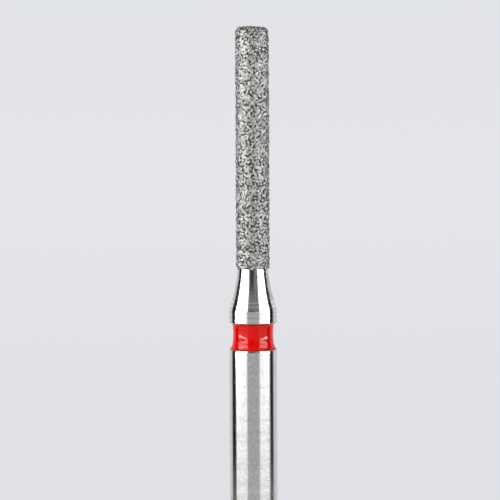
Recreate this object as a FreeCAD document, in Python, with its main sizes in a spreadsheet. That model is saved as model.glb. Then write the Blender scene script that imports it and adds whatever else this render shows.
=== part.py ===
import FreeCAD, Part
import math
import os

import Sketcher

# A friction-grip dental bur with a long, flat-ended, diamond-coated cylinder as its working head.
# It is made of three pieces that never move against each other:
#   blank            one turned and ground steel pin: shank, colour groove, shoulder, neck and core
#   diamond_coating  the plated layer of nickel and diamond grit that caps the core
#   colour_ring      the enamel that fills the groove and shows the grit grade
# Lengths are in millimetres. The axis is Z, the tip points up, and the origin is the centre of the
# shank's end face, which is the face that goes deepest into the handpiece.

SIZES = {
    "overall_length": (21.0, "shank end to tip"),
    "shank_diameter": (1.60, "the standard friction-grip shank"),
    "shank_chamfer": (0.15, "edge break at the shank's end"),
    "groove_width": (0.905, "colour groove, along the axis"),
    "groove_depth": (0.16, "colour groove, from the shank's surface down each side"),
    "groove_side": (0.04, "length along the axis over which each side slopes in"),
    "groove_hollow_radius": (2.3, "shallow hollow of the groove's floor, and of the enamel on it"),
    "collar_length": (0.42, "plain steel between groove and shoulder"),
    "shoulder_length": (0.17, "short bevel above the collar"),
    "shoulder_depth": (0.043, "how far the bevel goes in from the shank's surface"),
    "neck_length": (1.215, "flare from the shoulder up to the coating"),
    "neck_flare_radius": (4.8, "radius of the hollow flare"),
    "head_length": (8.075, "coated length, tip included"),
    "head_diameter": (1.12, "over the diamond"),
    "coat_thickness": (0.055, "nickel and grit on the core"),
    "coat_fade": (0.10, "length over which the coating thins out at the neck"),
    "tip_round": (0.15, "radius round the flat tip"),
    "enamel_thickness": (0.05, "enamel over the groove's floor, at the foot of each lip"),
    "high_lip_length": (0.10, "lip that the enamel climbs beside the groove's upper edge"),
    "high_lip_radius": (0.16, "hollow of the upper lip"),
    "low_lip_length": (0.22, "lip that the enamel climbs beside the groove's lower edge"),
    "low_lip_radius": (0.376, "hollow of the lower lip"),
}

SHEET = "Sizes"
FULL_TURN = 360.0
NEAR = 1e-5


class Length:
    """A length known both as a number and as the sheet expression that gives the same number."""

    def __init__(self, number, expression):
        self.number = number
        self.expression = expression

    def __add__(self, other):
        return Length(self.number + other.number, f"{self.expression} + {other.expression}")

    def __sub__(self, other):
        return Length(self.number - other.number, f"{self.expression} - ({other.expression})")

    def half(self):
        return Length(self.number / 2, f"({self.expression}) / 2")

    def at_least(self, other):
        number = max(self.number, other.number)
        return Length(number, f"max({self.expression}; {other.expression})")


def make_sheet(doc):
    """The spreadsheet of driving dimensions, one row for each."""
    sheet = doc.addObject("Spreadsheet::Sheet", SHEET)
    for row, (name, (number, note)) in enumerate(SIZES.items(), 1):
        sheet.set(f"A{row}", name)
        sheet.set(f"B{row}", str(number))
        sheet.set(f"C{row}", note)
        sheet.setAlias(f"B{row}", name)
    doc.recompute()
    return sheet


def make_body(doc, name):
    body = doc.addObject("PartDesign::Body", name)
    body.Label = name
    return body


def locate(sketch, geometry, end, radius, height, tag):
    """Fixes one end of an element at a radius from the axis and a height above the origin."""
    for kind, length, axis, word in (
        ("DistanceX", radius, -2, "radius"),
        ("DistanceY", height, -1, "height"),
    ):
        if length is None:
            sketch.addConstraint(Sketcher.Constraint("PointOnObject", geometry, end, axis))
            continue
        index = sketch.addConstraint(Sketcher.Constraint(kind, -1, 1, geometry, end, length.number))
        name = f"{tag}_{word}"
        sketch.renameConstraint(index, name)
        sketch.setExpression(f"Constraints.{name}", length.expression)


def hollow_arc(start, end, radius):
    """The arc between two corners that bends in towards the axis. It runs from its upper end to its
    lower one, because a sketch keeps its arcs counterclockwise."""
    upper, lower = (start, end) if start.y > end.y else (end, start)
    chord = upper - lower
    inwards = FreeCAD.Vector(-chord.y, chord.x, 0).normalize()
    sagitta = radius - math.sqrt(radius**2 - (chord.Length / 2) ** 2)
    return Part.Arc(upper, (upper + lower) / 2 + inwards * sagitta, lower)


def half_section(body, name, corners):
    """A closed half section on the XZ plane. Each corner is (tag, radius, height, hollow). A radius or
    height of None is zero, and hollow is the radius of the arc that starts there, or None for a
    straight line."""
    plane = next(o for o in body.Origin.OriginFeatures if o.Role == "XZ_Plane")
    sketch = body.newObject("Sketcher::SketchObject", name)
    sketch.AttachmentSupport = [(plane, "")]
    sketch.MapMode = "FlatFace"
    points = [
        FreeCAD.Vector(r.number if r else 0, z.number if z else 0, 0) for _, r, z, _ in corners
    ]
    following = points[1:] + points[:1]
    first = []
    for i, (tag, _, _, hollow) in enumerate(corners):
        if hollow is None:
            sketch.addGeometry(Part.LineSegment(points[i], following[i]), False)
            first.append(1)
            continue
        sketch.addGeometry(hollow_arc(points[i], following[i], hollow.number), False)
        first.append(1 if points[i].y > following[i].y else 2)
        index = sketch.addConstraint(Sketcher.Constraint("Radius", i, hollow.number))
        sketch.renameConstraint(index, f"{tag}_hollow")
        sketch.setExpression(f"Constraints.{tag}_hollow", hollow.expression)
    for i, (tag, radius, height, _) in enumerate(corners):
        before = (i - 1) % len(corners)
        last = 3 - first[before]
        sketch.addConstraint(Sketcher.Constraint("Coincident", before, last, i, first[i]))
        locate(sketch, i, first[i], radius, height, tag)
    return sketch


def revolve(body, name, sketch, kind="PartDesign::Revolution"):
    """Turns a half section about the axis: material for a Revolution, a cut for a Groove."""
    feature = body.newObject(kind, name)
    feature.Profile = sketch
    feature.ReferenceAxis = (sketch, ["V_Axis"])
    feature.Angle = FULL_TURN
    body.Document.recompute()
    return feature


def rim_name(feature, radius, height):
    """The name of the circular edge at this radius and height."""
    for index, edge in enumerate(feature.Shape.Edges, 1):
        circle = edge.Curve
        if not isinstance(circle, Part.Circle):
            continue
        away = abs(circle.Radius - radius.number), abs(circle.Center.z - (height.number if height else 0))
        if max(away) < NEAR:
            return f"Edge{index}"
    raise RuntimeError(f"{feature.Name} has no rim at radius {radius.number}")


def soften(body, name, kind, base, rim, length):
    """A Chamfer or Fillet round the circular edge at this (radius, height)."""
    feature = body.newObject(kind, name)
    feature.Base = (base, [rim_name(base, *rim)])
    setting = {"PartDesign::Chamfer": "Size", "PartDesign::Fillet": "Radius"}[kind]
    feature.setExpression(setting, length.expression)
    body.Document.recompute()
    return feature


def make_blank(doc, at):
    body = make_body(doc, "blank")
    section = half_section(
        body,
        "blank_section",
        [
            ("end_centre", None, None, None),
            ("end_rim", at["shank_radius"], None, None),
            ("collar_top", at["shank_radius"], at["collar_top"], None),
            ("shoulder", at["shoulder_radius"], at["shoulder"], at["neck_flare_radius"]),
            ("neck_top", at["core_radius"], at["coat_foot"], None),
            ("core_rim", at["core_radius"], at["core_end"], None),
            ("core_centre", None, at["core_end"], None),
        ],
    )
    turned = revolve(body, "turned_pin", section)
    broken = soften(
        body, "shank_end_break", "PartDesign::Chamfer", turned,
        (at["shank_radius"], None), at["shank_chamfer"],
    )
    rounded = soften(
        body, "core_end_round", "PartDesign::Fillet", broken,
        (at["core_radius"], at["core_end"]), at["core_round"],
    )
    cut = half_section(
        body,
        "groove_section",
        [
            ("floor_low", at["floor_radius"], at["floor_low"], None),
            ("edge_low", at["shank_radius"], at["groove_low"], None),
            ("clear_low", at["clear_radius"], at["groove_low"], None),
            ("clear_high", at["clear_radius"], at["groove_high"], None),
            ("edge_high", at["shank_radius"], at["groove_high"], None),
            ("floor_high", at["floor_radius"], at["floor_high"], at["groove_hollow_radius"]),
        ],
    )
    groove = revolve(body, "colour_groove", cut, "PartDesign::Groove")
    if groove.Shape.Volume >= rounded.Shape.Volume:
        raise RuntimeError("the colour groove removes nothing")
    return body


def make_coating(doc, at):
    body = make_body(doc, "diamond_coating")
    section = half_section(
        body,
        "coating_section",
        [
            ("foot", at["core_radius"], at["coat_foot"], None),
            ("full", at["head_radius"], at["coat_full"], None),
            ("tip_rim", at["head_radius"], at["overall_length"], None),
            ("tip_centre", None, at["overall_length"], None),
            ("seat_centre", None, at["core_end"], None),
            ("seat_rim", at["core_radius"], at["core_end"], None),
        ],
    )
    cap = revolve(body, "plated_cap", section)
    outside = soften(
        body, "tip_round_outside", "PartDesign::Fillet", cap,
        (at["head_radius"], at["overall_length"]), at["tip_round"],
    )
    soften(
        body, "tip_round_inside", "PartDesign::Fillet", outside,
        (at["core_radius"], at["core_end"]), at["core_round"],
    )
    return body


def make_ring(doc, at):
    body = make_body(doc, "colour_ring")
    section = half_section(
        body,
        "ring_section",
        [
            ("floor_low", at["floor_radius"], at["floor_low"], None),
            ("edge_low", at["shank_radius"], at["groove_low"], at["low_lip_radius"]),
            ("lip_low", at["lip_radius"], at["lip_low"], at["groove_hollow_radius"]),
            ("lip_high", at["lip_radius"], at["lip_high"], at["high_lip_radius"]),
            ("edge_high", at["shank_radius"], at["groove_high"], None),
            ("floor_high", at["floor_radius"], at["floor_high"], at["groove_hollow_radius"]),
        ],
    )
    revolve(body, "enamel_fill", section)
    return body


def work_out(sheet):
    """Every radius and height that the sections use, from the sheet's values."""
    at = {name: Length(float(sheet.get(name)), f"{SHEET}.{name}") for name in SIZES}
    at["shank_radius"] = at["shank_diameter"].half()
    at["head_radius"] = at["head_diameter"].half()
    at["core_radius"] = at["head_radius"] - at["coat_thickness"]
    at["shoulder_radius"] = at["shank_radius"] - at["shoulder_depth"]
    at["floor_radius"] = at["shank_radius"] - at["groove_depth"]
    at["clear_radius"] = at["shank_radius"] + at["groove_depth"]
    at["lip_radius"] = at["floor_radius"] + at["enamel_thickness"]
    at["core_end"] = at["overall_length"] - at["coat_thickness"]
    at["coat_foot"] = at["overall_length"] - at["head_length"]
    at["coat_full"] = at["coat_foot"] + at["coat_fade"]
    at["shoulder"] = at["coat_foot"] - at["neck_length"]
    at["collar_top"] = at["shoulder"] - at["shoulder_length"]
    at["groove_high"] = at["collar_top"] - at["collar_length"]
    at["groove_low"] = at["groove_high"] - at["groove_width"]
    at["floor_low"] = at["groove_low"] + at["groove_side"]
    at["floor_high"] = at["groove_high"] - at["groove_side"]
    at["lip_low"] = at["groove_low"] + at["low_lip_length"]
    at["lip_high"] = at["groove_high"] - at["high_lip_length"]
    # the core's edge is rounded from the same centre as the tip's, one coat thickness inside it
    at["core_round"] = (at["tip_round"] - at["coat_thickness"]).at_least(at["coat_thickness"].half().half())
    return at


def check(doc, bodies):
    doc.recompute()
    for thing in doc.Objects:
        if {"Invalid", "Error"} & set(thing.State):
            raise RuntimeError(f"{thing.Name} failed: {thing.State}")
    for body in bodies:
        shape = body.Shape
        if shape.isNull() or not shape.isValid() or len(shape.Solids) != 1:
            raise RuntimeError(f"{body.Label} isn't one valid solid")


def main():
    doc = FreeCAD.newDocument("dental_bur")
    at = work_out(make_sheet(doc))
    bodies = [make_blank(doc, at), make_coating(doc, at), make_ring(doc, at)]
    check(doc, bodies)
    os.makedirs("parts", exist_ok=True)
    for body in bodies:
        body.Shape.exportStep(os.path.join("parts", body.Label + ".step"))
        print(body.Label, "volume", round(body.Shape.Volume, 5), "mm3")


main()
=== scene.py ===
import math
import random

import bpy
from mathutils import Matrix, Quaternion, Vector


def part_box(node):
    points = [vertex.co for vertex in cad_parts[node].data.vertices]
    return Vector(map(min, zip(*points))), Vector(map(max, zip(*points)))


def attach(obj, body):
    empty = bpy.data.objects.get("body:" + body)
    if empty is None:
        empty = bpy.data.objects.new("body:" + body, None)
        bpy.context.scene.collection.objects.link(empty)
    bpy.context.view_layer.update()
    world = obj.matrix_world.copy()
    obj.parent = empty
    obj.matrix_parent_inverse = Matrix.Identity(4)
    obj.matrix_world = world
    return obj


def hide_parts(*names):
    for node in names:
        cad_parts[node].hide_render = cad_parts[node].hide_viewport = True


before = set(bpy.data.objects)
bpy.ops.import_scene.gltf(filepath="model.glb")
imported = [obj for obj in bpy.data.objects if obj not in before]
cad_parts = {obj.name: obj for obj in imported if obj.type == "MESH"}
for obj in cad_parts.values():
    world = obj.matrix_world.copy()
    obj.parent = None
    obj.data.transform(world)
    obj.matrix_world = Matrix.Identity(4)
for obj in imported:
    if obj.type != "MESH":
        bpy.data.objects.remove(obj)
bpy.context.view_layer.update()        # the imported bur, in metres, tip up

mm = 0.001               # every size below is written in millimetres


# Shader maths: a Field is one socket's value, and sums of Fields add their Math nodes

class Field:
    def __init__(self, finish, socket):
        self.finish = finish
        self.socket = socket

    def maths(self, operation, *others):
        return self.finish.node("ShaderNodeMath", {"operation": operation}, dict(enumerate((self, *others))))

    def __add__(self, other):
        return self.maths("ADD", other)

    def __sub__(self, other):
        return self.maths("SUBTRACT", other)

    def __rsub__(self, other):
        return self.finish.node("ShaderNodeMath", {"operation": "SUBTRACT"}, {0: other, 1: self})

    def __mul__(self, other):
        return self.maths("MULTIPLY", other)

    def __truediv__(self, other):
        return self.maths("DIVIDE", other)

    def __pow__(self, other):
        return self.maths("POWER", other)

    __radd__ = __add__
    __rmul__ = __mul__

    def larger(self, other):
        return self.maths("MAXIMUM", other)

    def size(self):
        return self.maths("ABSOLUTE")

    def wave(self, length):               # a sine from -1 to 1
        return (self * (2 * math.pi / length)).maths("SINE")

    def rise(self, low, high):            # 0 up to low, 1 from high on, smooth between them
        return self.finish.node("ShaderNodeMapRange", {"interpolation_type": "SMOOTHSTEP"},
                                {"Value": self, "From Min": low, "From Max": high})

    def band(self, low, high, soft):      # 1 between low and high, with soft edges
        return self.rise(low - soft, low + soft) * (1 - self.rise(high - soft, high + soft))


class Finish:                             # a material or the world, with its node tree
    def __init__(self, owner):
        self.owner = owner
        owner.use_nodes = True
        self.tree = owner.node_tree
        self.tree.nodes.clear()

    def make(self, kind, settings, values):
        made = self.tree.nodes.new(kind)
        for name, value in settings.items():
            setattr(made, name, value)
        for name, value in values.items():
            if isinstance(value, Field):
                self.tree.links.new(value.socket, made.inputs[name])
            else:
                made.inputs[name].default_value = value
        return made

    def node(self, kind, settings=None, values=None, output=0):
        made = self.make(kind, settings or {}, values or {})
        return Field(self, made.outputs[output])

    def place(self):                      # the point's x, y and z on the piece, in millimetres
        spot = self.node("ShaderNodeTexCoord", output="Object")
        return [self.node("ShaderNodeSeparateXYZ", {}, {0: spot}, axis) * (1 / mm) for axis in range(3)]

    def grain(self, x, y, z, scale, detail=2):    # noise at a scale in periods to the millimetre
        spot = self.node("ShaderNodeCombineXYZ", {}, {0: x, 1: y, 2: z})
        return self.node("ShaderNodeTexNoise", {}, {"Vector": spot, "Scale": scale, "Detail": detail})

    def blend(self, share, first, second):        # colours mixed by a share from 0 to 1
        return self.node("ShaderNodeMix", {"data_type": "RGBA"}, {0: share, 6: first, 7: second}, 2)

    def relief(self, height, depth, strength=1.0):
        return self.node("ShaderNodeBump", {}, {"Strength": strength, "Distance": depth, "Height": height})

    def shade(self, surface):
        out = "ShaderNodeOutputWorld" if isinstance(self.owner, bpy.types.World) else "ShaderNodeOutputMaterial"
        self.make(out, {}, {"Surface": surface})
        return self.owner


def newFinish(name):
    return Finish(bpy.data.materials.new(name))


def seenDirectly(finish):                 # 1 for what the camera sees, also in metal or through glass
    path = finish.make("ShaderNodeLightPath", {}, {})
    rays = [Field(finish, path.outputs[name]) for name in ("Is Camera Ray", "Is Glossy Ray", "Is Transmission Ray")]
    return rays[0].larger(rays[1]).larger(rays[2])


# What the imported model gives

ringLow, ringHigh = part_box("colour_ring")
coatLow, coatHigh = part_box("diamond_coating")
blankLow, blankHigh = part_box("blank")
shankRadius = blankHigh.x
headRadius = coatHigh.x
tipHeight = coatHigh.z


# Camera: nearly level, a long lens, as in the photograph

cameraSet = {
    "centreHeight": 13.53 * mm,           # the height on the bur's axis at the picture's middle
    "axisRight": 0.093 * mm,              # the axis is this far right of the picture's middle
    "elevation": 6.0,                     # degrees
    "distance": 250 * mm,
    "frameHeight": 16.67 * mm,            # what the picture takes in at that distance
    "lean": 0.24,                         # degrees, the tip leans left
}


def addCamera(given):
    bpy.ops.object.select_all(action="DESELECT")
    tilt = math.radians(given["elevation"])
    back = Vector((0, -math.cos(tilt), math.sin(tilt)))
    target = Vector((-given["axisRight"], 0, given["centreHeight"]))
    roll = Quaternion((0, 0, 1), -math.radians(given["lean"]))
    turn = (-back).to_track_quat("-Z", "Y") @ roll
    bpy.ops.object.camera_add(location=target + back * given["distance"], rotation=turn.to_euler())
    camera = bpy.context.active_object
    camera.name = "camera"
    camera.data.sensor_width = 36
    camera.data.lens = 36 * given["distance"] / given["frameHeight"]
    camera.data.clip_start = 10 * mm
    camera.data.clip_end = 3
    bpy.context.scene.camera = camera
    print("camera: lens", round(camera.data.lens), "mm")


# Floor, world and lamps

studio = {
    "floorRadius": 1.0,
    "pale": (0.800, 0.812, 0.838, 1),     # the background's colour
    "paleNearShade": (0.750, 0.760, 0.792, 1), # painted shade: the floor a little darker close to the bur
    "nearFrom": 40.0,                     # millimetres from the bur
    "nearTo": 170.0,
    "flatShare": 0.75,                    # how much of the floor's paleness is its own, the rest is lit
    "dayLevel": 0.72,
    "lampDistance": 0.6,
    "lampSize": 0.42,
    "lampLevels": {-64: 4.5, 60: 2.2},    # by degrees to the left and right of the camera
    "lampElevation": 28,
}


def addFloor(given):
    bpy.ops.object.select_all(action="DESELECT")
    bpy.ops.mesh.primitive_circle_add(vertices=96, radius=given["floorRadius"], fill_type="NGON")
    floor = bpy.context.active_object
    floor.name = "floor"
    finish = newFinish("floor_paper")
    x, y, _ = finish.place()
    away = (x * x + y * y) ** 0.5
    # painted shade on the floor: darker close to the bur, pale further out
    tone = finish.blend(away.rise(given["nearFrom"], given["nearTo"]), given["paleNearShade"], given["pale"])
    lit = finish.node("ShaderNodeBsdfDiffuse", {}, {"Color": tone})
    flat = finish.node("ShaderNodeEmission", {}, {"Color": tone, "Strength": 1.0})
    share = seenDirectly(finish) * given["flatShare"]
    floor.data.materials.append(finish.shade(finish.node("ShaderNodeMixShader", {}, {0: share, 1: lit, 2: flat})))


def addWorld(given):
    finish = Finish(bpy.data.worlds.new("studio"))
    seen = seenDirectly(finish)
    level = given["dayLevel"] + seen * (1 - given["dayLevel"])
    bpy.context.scene.world = finish.shade(
        finish.node("ShaderNodeBackground", {}, {"Color": given["pale"], "Strength": level}))
    bpy.context.scene.world.cycles.sampling_method = "NONE"


def addLamps(given):
    for azimuth, level in given["lampLevels"].items():
        bpy.ops.object.select_all(action="DESELECT")
        turn, tilt = math.radians(azimuth), math.radians(given["lampElevation"])
        back = Vector((math.sin(turn) * math.cos(tilt), -math.cos(turn) * math.cos(tilt), math.sin(tilt)))
        bpy.ops.object.light_add(type="AREA", location=back * given["lampDistance"],
                                 rotation=back.to_track_quat("Z", "Y").to_euler())
        lamp = bpy.context.active_object
        lamp.name = "softbox_left" if azimuth < 0 else "softbox_right"
        lamp.data.size = given["lampSize"]
        lamp.data.energy = level * math.pi * given["lampSize"] ** 2
        lamp.visible_glossy = False       # the metal mirrors the light tent instead
        lamp.visible_camera = False


# Light tent: a drum of lit cloth and black card round the bur, which only the gloss mirrors

tent = {
    "radius": 45.0,
    "height": 120.0,
    # degrees from the camera, each on the left and on the right
    "tableFrom": (29.7, 30.7),            # white table on either side of a grey board
    "clothFrom": (32.0, 36.5),            # lit cloth above the table
    "litTo": (90.0, 85.0),
    "litSoft": (3.0, 5.0),                # half the width of that edge
    "lowSoft": 4.0,                       # and low on the right it is this much softer
    "backFrom": (121.0, 112.0),           # black card ends, and the pale backdrop begins
    # heights in millimetres
    "boardTop": 11.7,                     # grey board below this height, the lens and the room above it
    "clothFoot": 12.3,
    "hemTop": 13.9,                       # the cloth's lowest part is the brightest
    "barTop": 19.5,                       # and a dimmer bar lies over it
    "clothTop": (50.0, 38.0),
    "clothSag": 0.03,                     # to a degree: away from the camera it hangs lower
    "lensTop": 28.0,
    # strengths
    "tableLevel": 1.45,
    "tableLow": 0.88,                     # the table is a little dimmer at the foot
    "hemLevel": 16.5,
    "barLevel": 4.6,
    "clothLevel": 9.2,
    "clothFade": 0.85,                    # the share lost above its top
    "cardLevel": 0.02,
    "backLevel": 0.80,
    "boardLevel": 0.53,
    "roomLevel": 0.26,
    "topLevel": 0.40,
    "lensLevel": 0.03,
    "lensFrom": -20.0,                    # degrees
    "lensTo": 6.0,
    # a thin bright seam that curves down across the table's edge
    "seamLevel": (37.0, 48.0),
    "seamTo": (92.0, 84.0),
    "seamLength": 56.0,                   # degrees
    "seamFoot": (6.3, 7.7),               # its height at the far end
    "seamDrop": (3.7, 3.6),               # and how much higher it starts
    "seamCurve": (1.7, 1.1),
    "seamFade": (0.70, 1.10),
    "seamFrom": 32.0,
    "seamHalf": 1.65,                     # half its width
}


def addTent(given):
    bpy.ops.object.select_all(action="DESELECT")
    bpy.ops.mesh.primitive_cylinder_add(vertices=96, radius=given["radius"] * mm, depth=given["height"] * mm,
                                        location=(0, 0, given["height"] * mm / 2))
    cloth = bpy.context.active_object
    cloth.name = "light_tent"
    bpy.ops.object.transform_apply(location=True, rotation=False, scale=False)
    finish = newFinish("tent_cloth")
    x, y, z = finish.place()
    azimuth = finish.node("ShaderNodeMath", {"operation": "ARCTAN2"}, {0: x, 1: 0 - y}) * math.degrees(1)
    side = azimuth.size()
    right = azimuth.rise(-1, 1)

    def either(name):                     # the left value or the right one
        onLeft, onRight = given[name]
        return onLeft + right * (onRight - onLeft)

    def past(value, edge, soft):
        return ((value - edge) / (2 * soft) + 0.5).rise(0, 1)

    soft = either("litSoft") + right * (1 - z.rise(2.5, 4.8)) * given["lowSoft"]
    litEnd = 1 - past(side, either("litTo"), soft)
    onTable = past(side, either("tableFrom"), 4.5) * litEnd
    onCloth = past(side, either("clothFrom"), 4.5) * litEnd
    over = past(z, given["boardTop"], 0.5)
    hung = z + (side - 45).larger(0) * given["clothSag"]
    aboveFoot = past(z, given["clothFoot"], 0.5)
    table = (given["tableLow"] + z.rise(0, 6) * (1 - given["tableLow"])) * given["tableLevel"]
    clothLevel = (given["hemLevel"] + past(hung, given["hemTop"], 0.6) * (given["barLevel"] - given["hemLevel"])
                  + past(hung, given["barTop"], 1.5) * (given["clothLevel"] - given["barLevel"]))
    clothLevel = clothLevel * (1 - past(z, either("clothTop"), 9.0) * given["clothFade"])
    lens = azimuth.band(given["lensFrom"], given["lensTo"], 4) * (1 - past(z, given["lensTop"], 8.0))
    room = given["roomLevel"] - lens * (given["roomLevel"] - given["lensLevel"])
    front = 1 - past(side, either("tableFrom"), 4.5)
    toEnd = (either("seamTo") - side).larger(0) / given["seamLength"]
    seamHeight = either("seamFoot") + toEnd ** either("seamCurve") * either("seamDrop")
    offSeam = (z - seamHeight).size() / given["seamHalf"]
    seam = ((1 - offSeam.rise(0, 1)) * (1 - toEnd * either("seamFade")).larger(0) * either("seamLevel")
            * past(side, given["seamFrom"], 4.0) * (1 - past(side, either("seamTo"), 2.0)))
    behind = past(side, either("backFrom"), 6.0)
    wall = ((1 - over) * (onTable * table + front * given["boardLevel"])
            + over * (1 - aboveFoot) * front * room
            + aboveFoot * (onCloth * clothLevel + (1 - onCloth) * front * room)
            + seam + behind * given["backLevel"] + given["cardLevel"])
    top = z.rise(given["height"] - 0.2, given["height"] - 0.1)
    level = wall + top * (given["topLevel"] - wall)
    cloth.data.materials.append(finish.shade(
        finish.node("ShaderNodeEmission", {}, {"Color": (1, 1, 1, 1), "Strength": level})))
    cloth.visible_camera = False
    cloth.visible_diffuse = False
    cloth.visible_transmission = False
    cloth.visible_shadow = False


addCamera(cameraSet)
addFloor(studio)
addWorld(studio)
addLamps(studio)
addTent(tent)
print("studio: floor, world, two softboxes and the light tent")


# Turned pieces

def turned(name, outline, sides, closed=False):
    # a disc or ring at the outline's first point, drawn out and resized from point to point
    bpy.ops.object.select_all(action="DESELECT")
    height, radius = outline[0]
    bpy.ops.mesh.primitive_circle_add(vertices=sides, radius=radius, location=(0, 0, height),
                                      fill_type="NOTHING" if closed else "NGON")
    piece = bpy.context.active_object
    piece.name = name
    bpy.ops.object.transform_apply(location=True, rotation=False, scale=False)
    bpy.ops.object.mode_set(mode="EDIT")
    bpy.ops.mesh.select_all(action="SELECT")
    for nextHeight, nextRadius in outline[1:]:
        bpy.ops.mesh.extrude_region_move(TRANSFORM_OT_translate={"value": (0, 0, nextHeight - height)})
        share = nextRadius / radius
        bpy.ops.transform.resize(value=(share, share, 1), center_override=(0, 0, nextHeight))
        height, radius = nextHeight, nextRadius
    bpy.ops.mesh.select_all(action="SELECT")
    if closed:
        bpy.ops.mesh.remove_doubles(threshold=0.0005 * mm)
    bpy.ops.mesh.normals_make_consistent(inside=False)
    bpy.ops.object.mode_set(mode="OBJECT")
    return piece


def smoothShaded(piece, angle):
    bpy.ops.object.select_all(action="DESELECT")
    piece.select_set(True)
    bpy.context.view_layer.objects.active = piece
    bpy.ops.object.shade_smooth_by_angle(angle=math.radians(angle))


def hollowArc(low, high, bend, steps):
    # points on an arc hollow towards the axis, from one (height, radius) point up to another
    start, end = Vector(low), Vector(high)
    chord = end - start
    across = Vector((-chord.y, chord.x)).normalized()     # away from the axis, as height grows
    if across.y < 0:
        across = -across
    centre = (start + end) / 2 + across * math.sqrt(bend ** 2 - (chord.length / 2) ** 2)
    first = math.atan2(start.y - centre.y, start.x - centre.x)
    last = math.atan2(end.y - centre.y, end.x - centre.x)
    turns = [first + (last - first) * step / steps for step in range(steps + 1)]
    return [(centre.x + bend * math.cos(turn), centre.y + bend * math.sin(turn)) for turn in turns]


# Steel blank

blank = {
    "sides": 160,
    "endChamfer": 0.15 * mm,
    "grooveRadius": 0.64 * mm,
    "grooveMiddle": 0.602 * mm,
    "grooveSide": 0.04 * mm,
    "edgeLength": 0.045 * mm,             # worn edge under the groove
    "edgeDepth": 0.010 * mm,
    "collarLength": 0.42 * mm,
    "shoulderLength": 0.17 * mm,
    "shoulderDepth": 0.043 * mm,
    "neckBend": 4.8 * mm,
    "coreRadius": 0.505 * mm,
    "coreShort": 0.16 * mm,               # the hidden core ends this far below its packed end
    "edgeWidth": 0.020 * mm,
    "neckSteps": 28,
    "markPitch": 0.143,                   # millimetres between the turning marks by the shoulder
    "dull": (0.53, 0.53, 0.52, 1),
    "bright": (0.71, 0.71, 0.71, 1),
    "markShine": (0.88, 0.88, 0.88, 1),
    "stain": (0.26, 0.26, 0.25, 1),
    "polish": 0.07,                       # the least roughness
    "relief": 0.0006 * mm,
}


def blankOutline(given):
    collarTop = ringHigh.z + given["collarLength"]
    shoulderTop = collarTop + given["shoulderLength"]
    side, middle = given["grooveSide"], (ringLow.z + ringHigh.z) / 2
    neck = hollowArc((shoulderTop, shankRadius - given["shoulderDepth"]), (coatLow.z, given["coreRadius"]),
                     given["neckBend"], given["neckSteps"])
    return [
        (0, shankRadius - given["endChamfer"]),
        (given["endChamfer"], shankRadius),
        (ringLow.z - given["edgeLength"], shankRadius),
        (ringLow.z, shankRadius - given["edgeDepth"]),
        (ringLow.z + side, given["grooveRadius"]),
        (middle, given["grooveMiddle"]),
        (ringHigh.z - side, given["grooveRadius"]),
        (ringHigh.z, shankRadius),
        (collarTop, shankRadius),
        *neck,
        (blankHigh.z - given["coreShort"], given["coreRadius"]),
    ]


def steelFinish(given):
    finish = newFinish("turned_steel")
    x, y, z = finish.place()
    lines = finish.grain(x * 0.6, y * 0.6, z * 22, 1.0, 4)         # fine rings left by the tool
    bands = finish.grain(x * 0.5, y * 0.5, z * 6.5, 1.0, 3)        # broader faint ones from the grinding wheel
    specks = finish.grain(x, y, z * 0.7, 22.0, 3)
    shoulder, pitch = (ringHigh.z + given["collarLength"]) / mm, given["markPitch"]
    marks = (z - shoulder + pitch / 4).wave(pitch) * z.band(shoulder - 0.3, shoulder + 0.33, 0.03)
    stains = finish.grain(x * 9, y * 9, z * 2.2, 1.0, 3) * 0.55 + finish.grain(x * 16, y * 16, z * 9, 1.0, 2) * 0.45
    streaks = stains.rise(0.44, 0.60) * z.band(shoulder + 0.35, shoulder + 1.5, 0.12)
    onNeck = z.rise(shoulder + 0.03, shoulder + 0.09)
    ground = finish.blend(specks.rise(0.3, 0.7) * 0.7 + bands.rise(0.3, 0.7) * 0.3, given["dull"], given["bright"])
    marked = finish.blend(marks * (0.3 + onNeck * 0.7), ground, given["markShine"])
    return finish.shade(finish.node("ShaderNodeBsdfPrincipled", {}, {
        "Base Color": finish.blend(streaks * 0.55, marked, given["stain"]),
        "Metallic": 1.0,
        "Roughness": given["polish"] + (lines * 0.4 + specks * 1.2 + streaks) * 0.05,
        "Normal": finish.relief(lines * 0.2 + specks * 0.8, given["relief"])}))


def addBlank(given):
    piece = turned("steel_blank", blankOutline(given), given["sides"])
    smoothShaded(piece, 30)
    edges = piece.modifiers.new("edges", "BEVEL")
    edges.width = given["edgeWidth"]
    edges.segments = 2
    edges.limit_method = "ANGLE"
    edges.angle_limit = math.radians(10)
    edges.harden_normals = True
    bpy.ops.object.modifier_apply(modifier=edges.name)
    piece.data.materials.append(steelFinish(given))
    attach(piece, "root")
    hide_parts("blank")
    print("blank:", len(piece.data.polygons), "faces")


addBlank(blank)


# Enamel ring

ring = {
    "sides": 256,
    "lipRadius": 0.69 * mm,               # at the foot of each lip
    "edgeBelow": 0.003 * mm,              # the enamel starts this little below the steel's edge
    "lowLip": 0.22 * mm,
    "lowBend": 0.376 * mm,
    "highLip": 0.10 * mm,
    "highBend": 0.16 * mm,
    "dishBend": 2.3 * mm,
    "lowSteps": 20,
    "dishSteps": 24,
    "highSteps": 10,
    "shadedBrim": 0.07,                         # millimetres of painted shade, darker enamel, by each edge
    "red": (0.63, 0.0014, 0.0003, 1),
    "redCloud": (0.68, 0.0020, 0.0004, 1),
    "redShadedBrim": (0.20, 0.0004, 0.0002, 1),
    "gloss": 0.23,
    "relief": 0.00015 * mm,
}


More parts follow.
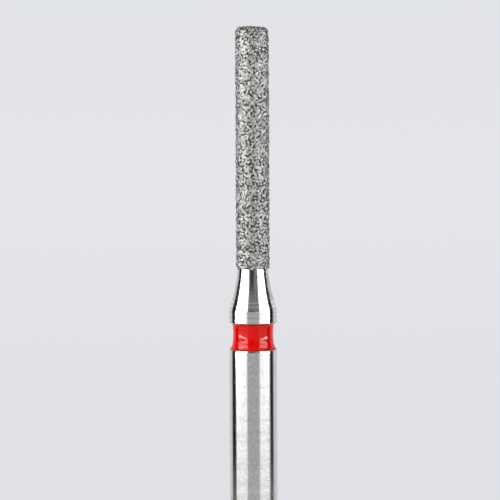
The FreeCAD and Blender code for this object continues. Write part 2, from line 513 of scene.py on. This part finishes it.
def enamelOutline(given):
    low, high = ringLow.z + given["lowLip"], ringHigh.z - given["highLip"]
    lowRim = shankRadius - blank["edgeDepth"] - given["edgeBelow"]
    lowLip = hollowArc((ringLow.z, lowRim), (low, given["lipRadius"]), given["lowBend"],
                        given["lowSteps"])
    dish = hollowArc((low, given["lipRadius"]), (high, given["lipRadius"]), given["dishBend"],
                      given["dishSteps"])
    highLip = hollowArc((high, given["lipRadius"]), (ringHigh.z, shankRadius - given["edgeBelow"]),
                        given["highBend"], given["highSteps"])
    side, middle = blank["grooveSide"], (ringLow.z + ringHigh.z) / 2
    inner = [(ringHigh.z - side, blank["grooveRadius"]), (middle, blank["grooveMiddle"]),
             (ringLow.z + side, blank["grooveRadius"])]
    return lowLip + dish[1:] + highLip[1:] + inner + lowLip[:1]


def enamelFinish(given):
    finish = newFinish("red_enamel")
    x, y, z = finish.place()
    cloud = finish.grain(x, y, z, 2.5, 2)
    low, high = ringLow.z / mm, ringHigh.z / mm
    # painted shade: the enamel darker along both of its edges
    shadedBrim = 1 - z.rise(low, low + given["shadedBrim"]) * (1 - z.rise(high - given["shadedBrim"], high))
    full = finish.blend(cloud.rise(0.3, 0.7), given["red"], given["redCloud"])
    return finish.shade(finish.node("ShaderNodeBsdfPrincipled", {}, {
        "Base Color": finish.blend(shadedBrim * 0.85, full, given["redShadedBrim"]),
        "Roughness": 0.04 + cloud * 0.04,
        "Specular IOR Level": given["gloss"],
        "Normal": finish.relief(finish.grain(x, y, z, 4.0, 1), given["relief"])}))


def addRing(given):
    piece = turned("enamel_ring", enamelOutline(given), given["sides"], closed=True)
    smoothShaded(piece, 60)
    piece.data.materials.append(enamelFinish(given))
    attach(piece, "root")
    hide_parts("colour_ring")
    print("enamel ring:", len(piece.data.polygons), "faces")


addRing(ring)


# Diamond head

head = {
    "sides": 96,
    "bondRadius": 0.517 * mm,             # the nickel between the grains
    "bondFoot": 0.510 * mm,
    "footLength": 0.10 * mm,
    "tipRound": 0.14 * mm,
    "shapes": 8,
    "cuts": 7,
    "cutAway": (0.76, 0.97),              # how far out the cuts lie, in half blocks
    "grainGap": 0.084 * mm,
    "grainLong": (0.050 * mm, 0.086 * mm),        # half its length
    "grainWide": (0.5, 0.8),              # shares of that length
    "grainDeep": (0.24, 0.40),
    "grainTilt": 0.20,                    # radians
    "topLow": -0.024 * mm,                # the grains' tops lie this far from the head's outer surface
    "topHigh": 0.006 * mm,
    "endLower": 0.020 * mm,               # and this much deeper on the flat end
    "tries": 60000,
    "seed": 7,
    # the nickel's own tone, darkened to near black as painted shade in the gaps between the grains
    "shadedNickelDark": (0.045, 0.045, 0.044, 1),
    "shadedNickelPale": (0.09, 0.09, 0.088, 1),
    "grainFootAndShade": (0.10, 0.099, 0.096, 1), # where the nickel climbs a grain, with painted shade in the crevice at its foot
    "grainDark": (0.218, 0.214, 0.206, 1),
    "grainPale": (0.318, 0.313, 0.302, 1),
    "climbAndShadeHeight": 0.030,                       # millimetres up the grain that the climbing nickel and the painted shade reach
    "edgeTint": (0.05, 0.05, 0.05, 1),
    "relief": 0.006 * mm,
}


def cutGrain(name, given, chance):
    # a crystal: a block with its corners cut away by planes at random turns
    bpy.ops.object.select_all(action="DESELECT")
    bpy.ops.mesh.primitive_cube_add(size=2)
    grain = bpy.context.active_object
    grain.name = name
    bpy.ops.object.mode_set(mode="EDIT")
    for _ in range(given["cuts"]):
        way = Vector([chance.gauss(0, 1) for _ in range(3)]).normalized()
        bpy.ops.mesh.select_all(action="SELECT")
        bpy.ops.mesh.bisect(plane_co=way * chance.uniform(*given["cutAway"]), plane_no=way, use_fill=True,
                            clear_outer=True)
    bpy.ops.mesh.select_all(action="SELECT")
    bpy.ops.mesh.dissolve_limited(angle_limit=math.radians(2))
    bpy.ops.mesh.select_all(action="SELECT")
    bpy.ops.mesh.normals_make_consistent(inside=False)
    bpy.ops.object.mode_set(mode="OBJECT")
    return grain


def grainSpots(given, chance):
    # places on the nickel's side, rounded corner and flat end, no two nearer than the gap
    radius, bend, gap = given["bondRadius"], given["tipRound"], given["grainGap"]
    low, top = coatLow.z + given["footLength"] * 0.5, tipHeight - headRadius + radius
    side, corner, flat = top - bend - low, bend * math.pi / 2, radius - bend
    cells, spots = {}, []
    for _ in range(given["tries"]):
        along, turn = chance.uniform(0, side + corner + flat), chance.uniform(0, 2 * math.pi)
        lean = min(max(along - side, 0), corner) / bend              # 0 on the side, a quarter turn on the end
        reach = radius - bend + bend * math.cos(lean) - max(along - side - corner, 0)
        height = low + min(along, side) + bend * math.sin(lean)
        if chance.random() > reach / radius:
            continue
        spot = Vector((reach * math.cos(turn), reach * math.sin(turn), height))
        out = Vector((math.cos(lean) * math.cos(turn), math.cos(lean) * math.sin(turn), math.sin(lean)))
        cell = [math.floor(value / gap) for value in spot]
        near = [other for i in (-1, 0, 1) for j in (-1, 0, 1) for k in (-1, 0, 1)
                for other in cells.get((cell[0] + i, cell[1] + j, cell[2] + k), ())]
        if all((spot - other).length > gap for other in near):
            cells.setdefault(tuple(cell), []).append(spot)
            spots.append((spot, out))
    return spots


def bondOutline(given):
    foot, full = coatLow.z, coatLow.z + given["footLength"]
    top = tipHeight - headRadius + given["bondRadius"]
    bend, steps = given["tipRound"], 6
    turns = [math.pi / 2 * step / steps for step in range(steps + 1)]
    corner = [(top - bend + bend * math.sin(turn), given["bondRadius"] - bend + bend * math.cos(turn))
              for turn in turns]
    return [(foot, blank["coreRadius"] * 0.98), (foot, given["bondFoot"]), (full, given["bondRadius"]), *corner]


def gritFinish(given):
    finish = newFinish("diamond_in_nickel")
    x, y, z = finish.place()
    tone = finish.node("ShaderNodeAttribute", {"attribute_name": "grainTone"}, output="Fac")
    isGrain = tone.rise(0.05, 0.1)
    fine = finish.grain(x, y, z, 26.0, 3)
    bend, flatEnd = given["tipRound"] / mm, (tipHeight - headRadius + given["bondRadius"]) / mm
    out = ((x * x + y * y) ** 0.5 - given["bondRadius"] / mm + bend).larger(0)
    up = (z - flatEnd + bend).larger(0)
    above = (out * out + up * up) ** 0.5 - bend                    # how far out from the nickel
    # the nickel between the grains; its dark colour is partly painted shade of the gaps
    nickel = finish.blend(fine, given["shadedNickelDark"], given["shadedNickelPale"])
    clear = finish.blend(tone, given["grainDark"], given["grainPale"])
    # darker at each grain's foot: the nickel climbing it, and painted shade in the crevices between grains
    crystal = finish.blend(above.rise(0, given["climbAndShadeHeight"]), given["grainFootAndShade"], clear)
    return finish.shade(finish.node("ShaderNodeBsdfPrincipled", {}, {
        "Base Color": finish.blend(isGrain, nickel, crystal),
        "Metallic": 0.9 + isGrain * 0.1,
        "Roughness": 0.55 + fine * 0.1,
        "Specular Tint": given["edgeTint"],
        "Normal": finish.relief(fine, given["relief"])}))


def setTone(mesh, value):
    tones = mesh.attributes.new("grainTone", "FLOAT", "POINT")
    tones.data.foreach_set("value", [value] * len(mesh.vertices))


def addHead(given):
    chance = random.Random(given["seed"])
    shapes = [cutGrain("grain_%d" % number, given, chance) for number in range(given["shapes"])]
    bond = turned("diamond_grit", bondOutline(given), given["sides"])
    smoothShaded(bond, 50)
    setTone(bond.data, 0.0)
    copies = []
    for spot, out in grainSpots(given, chance):
        mesh = chance.choice(shapes).data.copy()
        long = chance.uniform(*given["grainLong"])
        wide, deep = long * chance.uniform(*given["grainWide"]), long * chance.uniform(*given["grainDeep"])
        level = headRadius - given["bondRadius"] + chance.uniform(given["topLow"], given["topHigh"])
        level -= out.z * given["endLower"]
        axis = Vector((chance.uniform(-1, 1), chance.uniform(-1, 1), 0))
        tilt = Quaternion(axis, chance.uniform(-given["grainTilt"], given["grainTilt"]))
        spin = Quaternion((0, 0, 1), chance.uniform(0, 2 * math.pi))
        turn = out.to_track_quat("Z", "Y") @ tilt.normalized() @ spin
        mesh.transform(Matrix.LocRotScale(spot + out * (level - deep * 0.85), turn, Vector((long, wide, deep))))
        setTone(mesh, chance.uniform(0.15, 1.0))
        copy = bpy.data.objects.new("grain_copy", mesh)
        bpy.context.collection.objects.link(copy)
        copies.append(copy)
    bpy.ops.object.select_all(action="DESELECT")
    for shape in shapes:
        bpy.data.objects.remove(shape)
    for copy in copies:
        copy.select_set(True)
    bond.select_set(True)
    bpy.context.view_layer.objects.active = bond
    bpy.ops.object.join()
    bond.data.materials.append(gritFinish(given))
    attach(bond, "root")
    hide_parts("diamond_coating")
    print("head:", len(copies), "grains,", len(bond.data.polygons), "faces")


addHead(head)

bpy.context.scene.view_settings.view_transform = "Standard"
